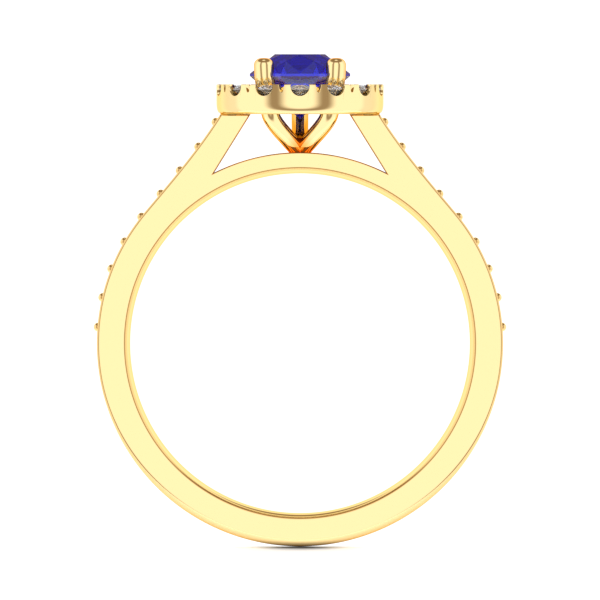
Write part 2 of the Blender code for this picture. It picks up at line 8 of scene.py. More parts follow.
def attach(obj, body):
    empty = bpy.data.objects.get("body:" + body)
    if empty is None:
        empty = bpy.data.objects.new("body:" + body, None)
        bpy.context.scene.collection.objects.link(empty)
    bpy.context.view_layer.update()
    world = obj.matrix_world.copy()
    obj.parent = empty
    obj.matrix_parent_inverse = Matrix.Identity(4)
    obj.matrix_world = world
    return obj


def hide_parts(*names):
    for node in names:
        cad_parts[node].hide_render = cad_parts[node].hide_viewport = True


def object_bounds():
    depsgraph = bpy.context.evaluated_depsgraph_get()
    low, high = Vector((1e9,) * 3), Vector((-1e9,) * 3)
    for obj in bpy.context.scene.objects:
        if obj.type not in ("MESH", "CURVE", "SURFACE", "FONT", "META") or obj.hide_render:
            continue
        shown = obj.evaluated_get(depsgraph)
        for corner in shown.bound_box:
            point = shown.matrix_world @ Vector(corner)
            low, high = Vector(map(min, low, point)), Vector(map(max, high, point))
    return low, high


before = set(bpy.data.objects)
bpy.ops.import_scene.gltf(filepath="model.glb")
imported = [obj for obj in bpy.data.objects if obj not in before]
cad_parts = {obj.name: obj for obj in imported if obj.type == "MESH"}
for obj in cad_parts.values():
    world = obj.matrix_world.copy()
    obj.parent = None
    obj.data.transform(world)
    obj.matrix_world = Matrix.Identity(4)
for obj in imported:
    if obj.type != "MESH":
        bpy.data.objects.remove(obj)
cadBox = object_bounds()
print("frame loaded:", len(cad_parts), "parts")

mm = 0.001


# small helpers, used by every piece
def linearColour(code):
    # sRGB hex to the linear numbers that Blender's sockets take
    parts = [int(code[i:i + 2], 16) / 255 for i in (0, 2, 4)]
    linear = [p / 12.92 if p <= 0.04045 else ((p + 0.055) / 1.055) ** 2.4 for p in parts]
    return (*linear, 1.0)


def addNode(tree, kind, inputs=None, **settings):
    # adds a node, sets its properties, then fills or links its inputs
    node = tree.nodes.new(kind)
    for name, value in settings.items():
        setattr(node, name, value)
    for socket, value in (inputs or {}).items():
        if isinstance(value, bpy.types.NodeSocket):
            tree.links.new(value, node.inputs[socket])
        else:
            node.inputs[socket].default_value = value
    return node


def newObject(name, data, hidden=False):
    thing = bpy.data.objects.new(name, data)
    bpy.context.scene.collection.objects.link(thing)
    thing.hide_render = hidden
    return thing


def bakeObject(thing, name):
    # the evaluated shape as a plain mesh of its own
    graph = bpy.context.evaluated_depsgraph_get()
    mesh = bpy.data.meshes.new_from_object(thing.evaluated_get(graph))
    mesh.name = name
    return mesh


def dropObject(thing):
    data = thing.data
    bpy.data.objects.remove(thing)
    if isinstance(data, bpy.types.Curve):
        bpy.data.curves.remove(data)


def turnedMesh(name, profile, steps):
    # a closed (radius, height) profile turned about Z
    work = bmesh.new()
    points = [work.verts.new((r * mm, 0, z * mm)) for r, z in profile]
    edges = [work.edges.new(pair) for pair in zip(points, points[1:] + points[:1])]
    bmesh.ops.spin(work, geom=points + edges, axis=(0, 0, 1), cent=(0, 0, 0),
                   steps=steps, angle=2 * pi, use_duplicate=False)
    bmesh.ops.remove_doubles(work, verts=work.verts, dist=0.0001 * mm)
    bmesh.ops.dissolve_degenerate(work, dist=0.00001 * mm, edges=work.edges)
    bmesh.ops.recalc_face_normals(work, faces=work.faces)
    mesh = bpy.data.meshes.new(name)
    work.to_mesh(mesh)
    work.free()
    return mesh


def movedMesh(mesh, turn):
    copy = mesh.copy()
    copy.transform(turn)
    if turn.determinant() < 0:
        copy.flip_normals()
    return copy


def joinedMesh(name, meshes):
    work = bmesh.new()
    for mesh in meshes:
        work.from_mesh(mesh)
    joined = bpy.data.meshes.new(name)
    work.to_mesh(joined)
    work.free()
    return joined


def cutOrJoin(mesh, other, operation):
    # an exact Boolean of two meshes, baked straight away
    base, tool = newObject("base", mesh), newObject("tool", other)
    step = base.modifiers.new("cut", "BOOLEAN")
    step.operation, step.object, step.solver = operation, tool, "EXACT"
    result = bakeObject(base, mesh.name)
    dropObject(base)
    dropObject(tool)
    return result


def arcPoints(centre, radius, start, end, steps):
    return [(centre[0] + radius * cos(start + (end - start) * i / steps),
             centre[1] + radius * sin(start + (end - start) * i / steps)) for i in range(steps + 1)]


def bezierPoints(a, b, c, d, steps):
    points = []
    for i in range(steps + 1):
        t = i / steps
        u = 1 - t
        weights = (u ** 3, 3 * u * u * t, 3 * u * t * t, t ** 3)
        points.append(tuple(sum(w * p[k] for w, p in zip(weights, (a, b, c, d))) for k in range(2)))
    return points


# the finishes
goldFinish = dict(
    polished="ffe6aa",      # 18 ct yellow gold, high polish
    polishedWarm="ffe5a8",  # the same metal where the buffing was heavier
    edge="fbe6b4",          # keeps the grazing edges yellow
    paintedCreaseEdgeTint="efa850",      # the same in the setting: a painted reflection of the gold round it, in the edge tint
    rolled="c98c34",        # painted reflection of the dark between the lights, on the rounded edges
    paintedCreaseGold="ffae48",          # painted reflection between the claws, where the metal mirrors itself
    roughness=0.035,
    wearRoughness=0.075,    # where a cloth and a finger have dulled it
    cloudSize=3.0,          # mm across the soft clouds left by buffing
    cloudRange=(0.42, 0.72),
    polishLine=0.12,        # mm between buffing lines: real ones are finer, and wouldn't show
    polishDepth=0.004,      # mm
)


def newMaterial(name):
    material = bpy.data.materials.new(name)
    material.use_nodes = True
    tree = material.node_tree
    tree.nodes.clear()
    shader = addNode(tree, "ShaderNodeBsdfPrincipled")
    addNode(tree, "ShaderNodeOutputMaterial", {"Surface": shader.outputs[0]})
    return material, tree, shader


def polishedGold(name="polished_18ct_yellow_gold", crease=None):
    # 18 ct yellow gold buffed to a mirror: soft buffing clouds and hairlines keep it from looking wet
    # crease is (height, near, far) in mm: the colour deepens towards that point on the axis, a painted
    # reflection of the gold round it
    look = goldFinish
    material, tree, shader = newMaterial(name)
    shader.inputs["Metallic"].default_value = 1.0
    shader.inputs["Specular Tint"].default_value = linearColour(look["paintedCreaseEdgeTint" if crease else "edge"])
    place = addNode(tree, "ShaderNodeTexCoord").outputs["Object"]
    clouds = addNode(tree, "ShaderNodeTexNoise", {"Vector": place, "Scale": 1 / (look["cloudSize"] * mm),
                                                  "Detail": 3.0, "Roughness": 0.55})
    dull = addNode(tree, "ShaderNodeMapRange", {"Value": clouds.outputs["Fac"],
                                                "From Min": look["cloudRange"][0],
                                                "From Max": look["cloudRange"][1],
                                                "To Min": look["roughness"], "To Max": look["wearRoughness"]})
    tree.links.new(dull.outputs[0], shader.inputs["Roughness"])
    tint = addNode(tree, "ShaderNodeMix", {0: clouds.outputs["Fac"], 6: linearColour(look["polished"]),
                                           7: linearColour(look["polishedWarm"])}, data_type="RGBA")
    # painted reflection: the colour turns towards the orange crease gold near the point on the axis
    if crease:
        height, near, far = crease
        away = addNode(tree, "ShaderNodeVectorMath", {0: place, 1: (0, 0, height * mm)}, operation="DISTANCE")
        depth = addNode(tree, "ShaderNodeMapRange", {"Value": away.outputs["Value"], "From Min": far * mm,
                                                     "From Max": near * mm}, interpolation_type="SMOOTHSTEP")
        tint = addNode(tree, "ShaderNodeMix", {0: depth.outputs[0], 6: tint.outputs[2],
                                               7: linearColour(look["paintedCreaseGold"])}, data_type="RGBA")
    # painted reflection: edges marked by the roll attribute are darkened towards the edge-shade colour
    roll = addNode(tree, "ShaderNodeAttribute", attribute_name="roll")
    tint = addNode(tree, "ShaderNodeMix", {0: roll.outputs["Fac"], 6: tint.outputs[2],
                                           7: linearColour(look["rolled"])}, data_type="RGBA")
    tree.links.new(tint.outputs[2], shader.inputs["Base Color"])
    lines = addNode(tree, "ShaderNodeTexNoise", {"Vector": place, "Scale": 1 / (look["polishLine"] * mm),
                                                 "Detail": 1.0, "Distortion": 0.6})
    hair = addNode(tree, "ShaderNodeBump", {"Height": lines.outputs["Fac"], "Strength": look["polishDepth"],
                                            "Distance": look["polishDepth"] * mm})
    tree.links.new(hair.outputs[0], shader.inputs["Normal"])
    return material


sapphireFinish = dict(body="081ac8", bright="1a2ef6", clear=0.78, ior=1.77, roughness=0.0,
                      zoneSize=1.6)      # mm across the paler growth zones


def royalSapphire():
    # cut sapphire, royal blue: part of the light passes, and part comes back blue from the body
    look = sapphireFinish
    material, tree, shader = newMaterial("faceted_royal_blue_sapphire")
    shader.inputs["Transmission Weight"].default_value = look["clear"]
    shader.inputs["IOR"].default_value = look["ior"]
    shader.inputs["Roughness"].default_value = look["roughness"]
    place = addNode(tree, "ShaderNodeTexCoord").outputs["Object"]
    zones = addNode(tree, "ShaderNodeTexNoise", {"Vector": place, "Scale": 1 / (look["zoneSize"] * mm),
                                                 "Detail": 2.0})
    tint = addNode(tree, "ShaderNodeMix", {0: zones.outputs["Fac"], 6: linearColour(look["body"]),
                                           7: linearColour(look["bright"])}, data_type="RGBA")
    tree.links.new(tint.outputs[2], shader.inputs["Base Color"])
    return material


diamondFinish = dict(body="ffffff", paintedSapphireBlue="e4eaff", clear=0.85, fire=0.9, ior=2.42, roughness=0.012,
                     cloudSize=0.5)      # mm across the patches of a faint painted blue reflection of the sapphire


def whiteDiamond():
    # cut diamond, near colourless: nearly all that shows is mirrored or bent light, with a faint painted blue
    # reflection of the sapphire in soft patches
    look = diamondFinish
    material, tree, shader = newMaterial("faceted_white_diamond")
    shader.inputs["Specular IOR Level"].default_value = look["fire"]
    shader.inputs["Transmission Weight"].default_value = look["clear"]
    shader.inputs["IOR"].default_value = look["ior"]
    shader.inputs["Roughness"].default_value = look["roughness"]
    place = addNode(tree, "ShaderNodeTexCoord").outputs["Object"]
    # painted reflection: noise patches tint the stone towards the sapphire's blue
    clouds = addNode(tree, "ShaderNodeTexNoise", {"Vector": place, "Scale": 1 / (look["cloudSize"] * mm),
                                                  "Detail": 2.0})
    tint = addNode(tree, "ShaderNodeMix", {0: clouds.outputs["Fac"], 6: linearColour(look["body"]),
                                           7: linearColour(look["paintedSapphireBlue"])}, data_type="RGBA")
    tree.links.new(tint.outputs[2], shader.inputs["Base Color"])
    return material


gold, sapphire, diamond = polishedGold(), royalSapphire(), whiteDiamond()
print("finishes made")


# what repeats is made by two Geometry Nodes trees
def newTree(name, sockets):
    tree = bpy.data.node_groups.new(name, "GeometryNodeTree")
    identifiers = {}
    tree.interface.new_socket("Geometry", in_out="INPUT", socket_type="NodeSocketGeometry")
    for label, kind in sockets:
        made = tree.interface.new_socket(label, in_out="INPUT", socket_type="NodeSocket" + kind)
        identifiers[label] = made.identifier
    tree.interface.new_socket("Geometry", in_out="OUTPUT", socket_type="NodeSocketGeometry")
    return tree, addNode(tree, "NodeGroupInput"), identifiers


def finishTree(tree, geometry, material):
    real = addNode(tree, "GeometryNodeRealizeInstances", {0: geometry})
    dressed = addNode(tree, "GeometryNodeSetMaterial", {"Geometry": real.outputs[0], "Material": material})
    addNode(tree, "NodeGroupOutput", {0: dressed.outputs[0]})


def roundTree():
    # one shape repeated round Z at even steps
    tree, given, ids = newTree("repeatRound", [("Shape", "Object"), ("Count", "Int"), ("Radius", "Float"),
                                               ("Height", "Float"), ("First Angle", "Float"),
                                               ("Material", "Material")])
    shape = addNode(tree, "GeometryNodeObjectInfo", {"Object": given.outputs["Shape"]})
    ring = addNode(tree, "GeometryNodeMeshCircle", {"Vertices": given.outputs["Count"],
                                                    "Radius": given.outputs["Radius"]})
    step = addNode(tree, "ShaderNodeMath", {0: 2 * pi, 1: given.outputs["Count"]}, operation="DIVIDE")
    turn = addNode(tree, "ShaderNodeMath", {0: addNode(tree, "GeometryNodeInputIndex").outputs[0],
                                            1: step.outputs[0]}, operation="MULTIPLY")
    spin = addNode(tree, "ShaderNodeCombineXYZ", {"Z": turn.outputs[0]})
    copies = addNode(tree, "GeometryNodeInstanceOnPoints", {"Points": ring.outputs[0],
                                                            "Instance": shape.outputs["Geometry"],
                                                            "Rotation": spin.outputs[0]})
    lift = addNode(tree, "ShaderNodeCombineXYZ", {"Z": given.outputs["Height"]})
    start = addNode(tree, "ShaderNodeCombineXYZ", {"Z": given.outputs["First Angle"]})
    placed = addNode(tree, "GeometryNodeTransform", {"Geometry": copies.outputs[0],
                                                     "Translation": lift.outputs[0],
                                                     "Rotation": start.outputs[0]})
    finishTree(tree, placed.outputs[0], given.outputs["Material"])
    return tree, ids


def rowTree():
    # one shape repeated along a guide curve in one or more rows, standing on the edge it follows
    tree, given, ids = newTree("repeatAlongEdge", [("Guide", "Object"), ("Shape", "Object"), ("Count", "Int"),
                                                   ("Rows", "Int"), ("First", "Float"), ("Pitch", "Float"),
                                                   ("Across", "Float"), ("Side", "Float"),
                                                   ("Material", "Material")])
    guide = addNode(tree, "GeometryNodeObjectInfo", {"Object": given.outputs["Guide"]})
    shape = addNode(tree, "GeometryNodeObjectInfo", {"Object": given.outputs["Shape"]})
    total = addNode(tree, "ShaderNodeMath", {0: given.outputs["Count"], 1: given.outputs["Rows"]},
                    operation="MULTIPLY")
    points = addNode(tree, "GeometryNodePoints", {"Count": total.outputs[0]})
    index = addNode(tree, "GeometryNodeInputIndex").outputs[0]
    share = addNode(tree, "ShaderNodeMath", {0: index, 1: given.outputs["Rows"]}, operation="DIVIDE")
    station = addNode(tree, "ShaderNodeMath", {0: share.outputs[0]}, operation="FLOOR")
    length = addNode(tree, "ShaderNodeMath", {0: station.outputs[0], 1: given.outputs["Pitch"],
                                              2: given.outputs["First"]}, operation="MULTIPLY_ADD")
    row = addNode(tree, "ShaderNodeMath", {0: index, 1: given.outputs["Rows"]}, operation="MODULO")
    middle = addNode(tree, "ShaderNodeMath", {0: given.outputs["Rows"], 1: -0.5, 2: 0.5},
                     operation="MULTIPLY_ADD")
    centred = addNode(tree, "ShaderNodeMath", {0: row.outputs[0], 1: middle.outputs[0]}, operation="ADD")
    across = addNode(tree, "ShaderNodeMath", {0: centred.outputs[0], 1: given.outputs["Across"]},
                     operation="MULTIPLY")
    sample = addNode(tree, "GeometryNodeSampleCurve", {"Curves": guide.outputs["Geometry"],
                                                       "Length": length.outputs[0]}, mode="LENGTH")
    shift = addNode(tree, "ShaderNodeCombineXYZ", {"Y": across.outputs[0]})
    placed = addNode(tree, "GeometryNodeSetPosition", {"Geometry": points.outputs[0],
                                                       "Position": sample.outputs["Position"],
                                                       "Offset": shift.outputs[0]})
    outward = addNode(tree, "ShaderNodeVectorMath", {0: sample.outputs["Tangent"], 1: (0, 1, 0)},
                      operation="CROSS_PRODUCT")
    facing = addNode(tree, "ShaderNodeVectorMath", {0: outward.outputs[0], "Scale": given.outputs["Side"]},
                     operation="SCALE")
    turn = addNode(tree, "FunctionNodeAxesToRotation", {0: facing.outputs[0], 1: (0, 1, 0)},
                   primary_axis="Z", secondary_axis="Y")
    copies = addNode(tree, "GeometryNodeInstanceOnPoints", {"Points": placed.outputs[0],
                                                            "Instance": shape.outputs["Geometry"],
                                                            "Rotation": turn.outputs[0]})
    finishTree(tree, copies.outputs[0], given.outputs["Material"])
    return tree, ids


repeatRound, roundSockets = roundTree()
repeatAlongEdge, rowSockets = rowTree()
print("trees built")


def repeated(name, tree, sockets, values):
    # runs a tree on an empty mesh and hands back the result as a plain mesh
    carrier = newObject(name, bpy.data.meshes.new(name))
    step = carrier.modifiers.new(name, "NODES")
    step.node_group = tree
    for label, value in values.items():
        step[sockets[label]] = value
    carrier.update_tag()
    mesh = bakeObject(carrier, name)
    dropObject(carrier)
    return mesh


# the stones' cuts, in mm and degrees
centreStone = dict(diameter=5.00, table=0.500, crown=37.8, pavilion=40.6, girdle=0.12, rise=0.470)
haloStone = dict(diameter=1.25, table=0.55, crown=34.0, pavilion=41.0, girdle=0.04, tableDrop=0.04)
shoulderStone = dict(diameter=1.25, table=0.55, crown=34.0, pavilion=41.0, girdle=0.04, tableDrop=0.03)


def stoneHeights(stone):
    # table and culet heights from the middle of the girdle
    radius = stone["diameter"] / 2
    table = stone["girdle"] / 2 + radius * (1 - stone["table"]) * tan(radians(stone["crown"]))
    culet = -stone["girdle"] / 2 - radius * tan(radians(stone["pavilion"]))
    return table, culet


def brilliantMesh(name, stone, starShare=0.5, lowerShare=0.22):
    # a round brilliant of 57 facets on a faceted girdle, as the hull of the points where facets meet
    radius, half = stone["diameter"] / 2, stone["girdle"] / 2
    crown, pavilion = tan(radians(stone["crown"])), tan(radians(stone["pavilion"]))
    table, culet = stoneHeights(stone)
    lean = cos(pi / 8)
    tableFlat = radius * stone["table"] * lean
    star = tableFlat + starShare * (radius - tableFlat)
    lower = lowerShare * radius
    rings = [(radius * stone["table"], 0, table, 8), (star, 0.5, half + crown * (radius - star * lean), 8),
             (lower, 0.5, -half - pavilion * (radius - lower * lean), 8),
             (radius, 0, half, 16), (radius, 0, -half, 16)]
    work = bmesh.new()
    work.verts.new((0, 0, culet))
    for r, start, height, count in rings:
        for k in range(count):
            angle = (k + start) * 2 * pi / count
            work.verts.new((r * cos(angle), r * sin(angle), height))
    bmesh.ops.convex_hull(work, input=work.verts)
    bmesh.ops.dissolve_limit(work, angle_limit=radians(0.2), verts=work.verts, edges=work.edges)
    bmesh.ops.recalc_face_normals(work, faces=work.faces)
    bmesh.ops.transform(work, matrix=Matrix.Scale(mm, 4), verts=work.verts)
    mesh = bpy.data.meshes.new(name)
    work.to_mesh(mesh)
    work.free()
    return mesh


# where the pieces of the setting meet, in mm; every piece follows these
setting = dict(
    collarRise=1.894,     # from the bridge to the collar's underside
    collarHeight=1.489,
    haloGap=0.365,        # between the centre stone and the halo stones
    outerWall=0.055,      # metal outside the halo stones
    clawOut=0.02,         # claws' centre lines, outside the centre stone's girdle
    clearance=0.02,       # round a stone in its seat
    past=0.5,             # how far a cutter runs past what it cuts
)

# the shank: band, bridge, shoulders and their stones' seats
band = dict(fingerRadius=8.45, thickness=1.67, width=1.80, comfort=0.20, lip=0.14, sideRound=0.13,
            soleRound=0.38, bridge=1.06, turnSteps=216, outsideSteps=84, roundSteps=6)
shoulder = dict(
    leaves=40, slope=58,  # degrees round the band where it leaves, and its lean at the top
    top=1.52, inset=0.20, innerRound=0.07,
    solder=0.01,          # how far it runs into the collar
)

outerRadius = band["fingerRadius"] + band["thickness"]
bridgeTop = band["fingerRadius"] + band["bridge"]
underside = bridgeTop + setting["collarRise"]
rim = underside + setting["collarHeight"]
stoneCircle = centreStone["diameter"] / 2 + setting["haloGap"] + haloStone["diameter"] / 2
collarRadius = stoneCircle + haloStone["diameter"] / 2 + setting["outerWall"]
shoulderOut = collarRadius - shoulder["inset"]
shoulderIn = shoulderOut - shoulder["top"]
ceiling = underside + shoulder["solder"]


def shoulderRun(steps):
    # the shoulder's outer edge from its flat top down to the round, as (x, z)
    lean, leaves = radians(shoulder["slope"]), radians(shoulder["leaves"])
    top = (shoulderOut, ceiling)
    leave = (outerRadius * cos(leaves), outerRadius * sin(leaves))
    reach = hypot(top[0] - leave[0], top[1] - leave[1]) / 3
    return bezierPoints(top, (top[0] + reach * cos(lean), top[1] - reach * sin(lean)),
                        (leave[0] - reach * sin(leaves), leave[1] + reach * cos(leaves)), leave, steps)


def crotchPoint():
    # where the shoulder's inner edge meets the bridge
    lean = radians(shoulder["slope"])
    along = (cos(lean), -sin(lean))
    b = shoulderIn * along[0] + ceiling * along[1]
    c = shoulderIn ** 2 + ceiling ** 2 - bridgeTop ** 2
    length = -b - sqrt(b * b - c)
    return shoulderIn + length * along[0], ceiling + length * along[1]


def edgeRound(x, z, start=10, span=55):
    # radius of the rounding on the outside edges: softer towards the sole, from start degrees down
    below = -atan2(z, abs(x)) - radians(start)
    share = min(max(below / radians(span), 0), 1)
    return band["sideRound"] + (band["soleRound"] - band["sideRound"]) * share * share * (3 - 2 * share)


def shankOutline():
    # closed front view as (x, z, edge radius), clockwise from the middle of the sole
    leaves = radians(shoulder["leaves"])
    corner = crotchPoint()
    half = [(x, z, edgeRound(x, z)) for x, z in arcPoints((0, 0), outerRadius, -pi / 2, leaves,
                                                               band["outsideSteps"])]
    half += [(x, z, band["sideRound"]) for x, z in shoulderRun(34)[::-1][1:]]
    inner = shoulder["innerRound"]
    half += [(shoulderIn, ceiling, inner)]
    lean = [(shoulderIn + (corner[0] - shoulderIn) * t / 6, ceiling + (corner[1] - ceiling) * t / 6, inner)
            for t in range(1, 6)]
    half += lean
    bridge = arcPoints((0, 0), bridgeTop, atan2(corner[1], corner[0]), pi / 2, 22)
    half += [(x, z, inner) for x, z in bridge]
    return half + [(-x, z, r) for x, z, r in half[-2:0:-1]]


def boreProfile():
    # (radius, y) across the band from the front face's lip to the back's
    face = band["width"] / 2
    flank = face - band["lip"]
    crest = band["fingerRadius"] + band["comfort"] + band["lip"]
    lip = arcPoints((crest, flank), band["lip"], pi / 2, pi, 7)
    comfort = []
    for i in range(1, 16):
        share = 1 - i / 8
        comfort.append((band["fingerRadius"] + band["comfort"] * share * share, flank * share))
    far = [(radius, -y) for radius, y in reversed(lip)]
    return [(radius, -y) for radius, y in lip + comfort + far]


def shankBlank():
    # flat faces filled between the outline and the lip of the bore, joined by walls and the turned bore
    steps = band["turnSteps"]
    face = band["width"] / 2
    outline = shankOutline()
    across = boreProfile()
    work = bmesh.new()
    weight = work.edges.layers.float.new("bevel_weight_edge")
    grid = [[work.verts.new((r * cos(2 * pi * k / steps), y, r * sin(2 * pi * k / steps)))
             for k in range(steps)] for r, y in across]
    for one, two in zip(grid, grid[1:]):
        for k in range(steps):
            work.faces.new((one[k], two[k], two[k - 1], one[k - 1]))
    sides = []
    for y, lipRow in ((-face, grid[0]), (face, grid[-1])):
        edge = [work.verts.new((x, y, z)) for x, z, r in outline]
        sides.append(edge)
        loops = [work.edges.new(pair) for pair in zip(edge, edge[1:] + edge[:1])]
        loops += [work.edges.get(pair) for pair in zip(lipRow, lipRow[1:] + lipRow[:1])]
        bmesh.ops.triangle_fill(work, use_beauty=True, use_dissolve=False, edges=loops)
    count = len(outline)
    for k in range(count):
        work.faces.new((sides[0][k - 1], sides[0][k], sides[1][k], sides[1][k - 1]))
    for edge in sides:
        for k in range(count):
            line = work.edges.get((edge[k - 1], edge[k]))
            line[weight] = (outline[k - 1][2] + outline[k][2]) / 2 / band["soleRound"]
    bmesh.ops.recalc_face_normals(work, faces=work.faces)
    bmesh.ops.transform(work, matrix=Matrix.Scale(mm, 4), verts=work.verts)
    mesh = bpy.data.meshes.new("shank")
    work.to_mesh(mesh)
    work.free()
    blank = newObject("shankBlank", mesh)
    ease = blank.modifiers.new("ease", "BEVEL")
    ease.limit_method, ease.width, ease.segments = "WEIGHT", band["soleRound"] * mm, band["roundSteps"]
    ease.use_clamp_overlap = False
    eased = bakeObject(blank, "shank")
    dropObject(blank)
    return eased


def edgeGuide(side):
    # the line that stones and grains follow: outer edge from the shoulder's top down one side
    steps = 160
    path = shoulderRun(steps)
    path += arcPoints((0, 0), outerRadius, radians(shoulder["leaves"]), -pi / 4, steps)[1:]
    curve = bpy.data.curves.new("edgeGuide", "CURVE")
    curve.dimensions = "3D"
    spline = curve.splines.new("POLY")
    spline.points.add(len(path) - 1)
    for point, (x, z) in zip(spline.points, path):
        point.co = (side * x * mm, 0, z * mm, 1)
    return newObject("edgeGuide", curve, hidden=True)


def beadMesh(diameter, sideSteps=20, rings=9, flat=0.94):
    # a raised grain: a round bead, a little flattened on top by the beading tool
    radius = diameter / 2
    profile = [(0, -radius)]
    for i in range(1, rings):
        squash = flat if i > rings / 2 else 1
        profile.append((radius * sin(pi * i / rings), -radius * cos(pi * i / rings) * squash))
    profile += [(0, radius * flat)]
    return turnedMesh("bead", profile, sideSteps)


def seatMesh(stone, rise, drill=None, steps=40):
    # cutter for a stone's seat: pavilion cone with a straight well above it
    # drill is the (diameter, depth) of a hole through the cone's point
    gap = setting["clearance"]
    radius, slope = stone["diameter"] / 2 + gap, tan(radians(stone["pavilion"]))
    shelf = -stone["girdle"] / 2 - gap
    profile = [(0, rise), (radius, rise), (radius, shelf)]
    if drill:
        bore, depth = drill[0] / 2, drill[1]
        profile += [(bore, shelf - (radius - bore) * slope), (bore, -depth), (0, -depth)]
    else:
        profile += [(0, shelf - radius * slope)]
    return turnedMesh("seat", profile, steps)


pave = dict(stones=8, gap=0.25, firstGrain=0.46, grain=0.44, proud=0.20, inset=0.34)
pitch = shoulderStone["diameter"] + pave["gap"]
grainAcross = band["width"] - 2 * pave["inset"]


def alongShoulders(name, mesh, count, rows, first, across, height):
    # a mesh repeated down both shoulders; height lifts it off the edge
    lifted = newObject("lifted", movedMesh(mesh, Matrix.Translation((0, 0, height * mm))), hidden=True)
    halves = []
    for side in (1, -1):
        guide = edgeGuide(side)
        halves.append(repeated(name, repeatAlongEdge, rowSockets, {
            "Guide": guide, "Shape": lifted, "Count": count, "Rows": rows, "First": first * mm,
            "Pitch": pitch * mm, "Across": across * mm, "Side": side, "Material": None}))
        dropObject(guide)
    dropObject(lifted)
    return joinedMesh(name, halves)


def smoothed(mesh, sharpAngle, flatAxis=None, roundRadius=None, flatWithin=0.99999, wallWithin=0.97):
    # smooth shading with the true corners kept sharp, flat faces left flat and the turned wall left round
    mesh.polygons.foreach_set("use_smooth", [True] * len(mesh.polygons))
    mesh.set_sharp_from_angle(angle=radians(sharpAngle))
    limit = cos(radians(sharpAngle))
    normals = [Vector(corner.vector) for corner in mesh.corner_normals]
    flats = {}
    if flatAxis is not None:
        for polygon in mesh.polygons:
            if abs(polygon.normal[flatAxis]) > flatWithin:
                facing = Vector((0, 0, 0))
                facing[flatAxis] = 1 if polygon.normal[flatAxis] > 0 else -1
                for vertex in polygon.vertices:
                    flats[vertex] = facing
    for loop in mesh.loops:
        normal = normals[loop.index]
        facing = flats.get(loop.vertex_index)
        if facing is not None and normal.dot(facing) > limit:
            normals[loop.index] = facing
            continue
        if roundRadius:
            x, y, z = mesh.vertices[loop.vertex_index].co
            outward = Vector((x, y, 0)).normalized()
            onWall = abs(hypot(x, y) - roundRadius * mm) < 0.002 * mm
            if onWall and normal.dot(outward) > wallWithin:
                normals[loop.index] = outward
    mesh.normals_split_custom_set(normals)
    return mesh


# how strongly each rounded edge of the shank takes the painted dark reflection, and the tilts in degrees that
# bound it
rolled = dict(bore=0.65, boreBack=0.26, window=0.9, outside=0.5, sole=0.85, soleFall=1.5,
              reach=0.15, flat=6, steep=84, lipTilt=45, backTilt=60, outsideTilt=50)


def markPaintedEdgeShade(mesh):
    # a "roll" value on the shank's rounded edges, for a painted reflection: how much of the dark between the
    # lights they are painted as mirroring
    corner = crotchPoint()
    lean = (corner[0] - shoulderIn) / (ceiling - corner[1])
    bore, face = band["fingerRadius"] + band["comfort"], band["width"] / 2
    near = 0.0005
    marks = mesh.attributes.new("roll", "FLOAT", "POINT")
    for vertex in mesh.vertices:
        x, y, z = vertex.co / mm
        tilt = degrees(acos(min(abs(vertex.normal.y), 1.0)))
        radius = hypot(x, z)
        if abs(y) > face - near or not rolled["flat"] < tilt < rolled["steep"]:
            continue
        windowSide = shoulderIn + (ceiling - z) * lean + rolled["reach"]
        sole = (edgeRound(x, z) - band["sideRound"]) / (band["soleRound"] - band["sideRound"])
        value = 0
        if radius < bore + band["lip"] + 0.01:
            if radius > bore - 0.005 and tilt < rolled["lipTilt"]:
                value = rolled["bore"]
            elif radius > bore - 0.005 and tilt > rolled["backTilt"]:
                value = rolled["boreBack"]
        elif z > 0 and radius > bridgeTop - rolled["reach"] and abs(x) < windowSide:
            value = rolled["window"]
        elif tilt < rolled["outsideTilt"] or sole > 0:
            side = rolled["outside"] * (1 - sole) * (tilt < rolled["outsideTilt"])
            value = side + rolled["sole"] * sole * (tilt / 90) ** rolled["soleFall"]
        marks.data[vertex.index].value = value


def finished(name, mesh, material, slot, *nodes):
    mesh.materials.clear()
    mesh.materials.append(material)
    for polygon in mesh.polygons:
        polygon.material_index = 0
    piece = newObject(name, mesh)
    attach(piece, "root")
    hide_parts(*nodes)
    print(name, len(mesh.polygons), "faces")
    return piece


shankMesh = shankBlank()
shoulderTable = stoneHeights(shoulderStone)[0]
stoneSink = -shoulderStone["tableDrop"] - shoulderTable
firstStone = pave["firstGrain"] + pitch / 2
seats = alongShoulders("seats", seatMesh(shoulderStone, setting["past"] - stoneSink), pave["stones"], 1,
                       firstStone, 0, stoneSink)
shankMesh = cutOrJoin(shankMesh, seats, "DIFFERENCE")
beads = alongShoulders("beads", beadMesh(pave["grain"]), pave["stones"] + 1, 2, pave["firstGrain"],
                       grainAcross, pave["proud"] - pave["grain"] / 2)
shankMesh = cutOrJoin(shankMesh, beads, "UNION")
# paints the dark reflection onto the shank's rounded edges
markPaintedEdgeShade(shankMesh)
finished("shankPiece", smoothed(shankMesh, 38, flatAxis=1), gold, "gold", "shank")


# the basket: four claws, their core and the rear upright
basket = dict(
    foot=0.84, knee=0.89, tip=0.99,          # a claw's width, from the core to its tip
    footAt=(-0.05, -0.06),                   # the foot, out from the axis and up from the bridge
    footPull=(0.80, 0.72), kneeBack=(0.16, 0.50), kneePull=(0.14, 0.50), girdleBack=(0.06, 0.60),
    lean=0.44, splay=0.03,                   # how far the claw leans in at the knee, and out at the tip
    proud=0.844, dome=0.38, domeTurn=87, domeFullness=0.72,
    core=0.48, coreTop=0.50, coreHeight=0.30, sink=0.1,
    upright=0.84, uprightInset=1.00, uprightFoot=(0.15, 0.33), uprightPull=(1.1, 0.50), uprightBack=0.75,
    crease=(9.75, 0.5, 1.5),                 # height on the axis, and where the painted crease reflection is full and gone
)
clawCircle = centreStone["diameter"] / 2 + setting["clawOut"]
girdleLevel = rim + centreStone["rise"]
# the basket's gold, with a painted reflection of gold deepening its colour between the claws
goldWithPaintedCrease = polishedGold("polished_18ct_gold_deep_in_the_setting", crease=basket["crease"])


